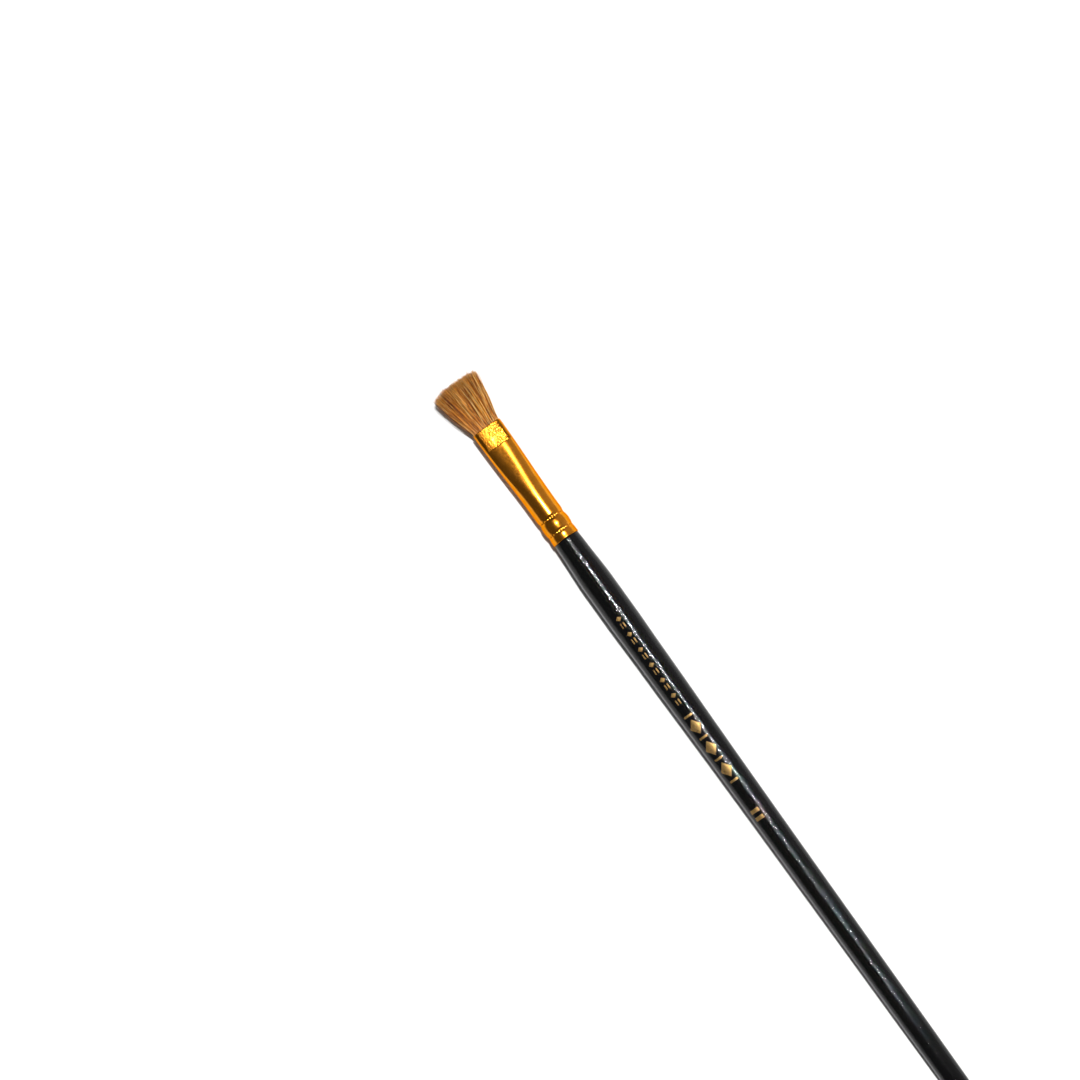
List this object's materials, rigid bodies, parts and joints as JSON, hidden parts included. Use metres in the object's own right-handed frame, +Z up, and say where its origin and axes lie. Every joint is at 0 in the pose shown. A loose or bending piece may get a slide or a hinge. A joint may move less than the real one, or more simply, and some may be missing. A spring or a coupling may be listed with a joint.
{
  "type": "paint brush",
  "caption": "Long-handled hair brush with a metal ferrule that is round at the handle and pressed to an oval at the mouth, and a fanned, blunt-cut tuft.",
  "frame": {"origin": "bottom centre of the bounding box of the brush lying at rest on a table", "axes": "+X along the brush toward the hair tips, Y across the wide way of the oval mouth, +Z up from the table; the brush's axis leans 0.46 degrees about Y, because it rests on its belly and on its thinner end"},
  "size_m": [0.296, 0.0144, 0.0092],
  "materials": {
    "handle_lacquer": "gloss black lacquer",
    "ferrule_metal": "polished, gold-coloured",
    "hair": "natural hair",
    "hair_root": "natural hair set in resin",
    "thread": "waxed thread",
    "resin": "set resin",
    "glue": "set glue film",
    "foil": "hot-stamped gold foil"
  },
  "bodies": {
    "brush": {"handle": "handle_lacquer", "ferrule": "ferrule_metal", "hair_roots": "hair_root", "binding_thread": "thread", "resin_plug": "resin", "ferrule_cement": "glue", "foil_line": "foil", "foil_emblem": "foil", "foil_size": "foil"},
    "tuft": {"hair_tuft": "hair"}
  },
  "joints": [
    {"name": "tuft_bend", "type": "hinge", "parent": "brush", "child": "tuft", "pos_m": [0.132, 0, 0.00505], "axis": [0, 1, 0], "range_deg": [-30, 30], "stiffness_Nm_per_rad": 0.015}
  ]
}
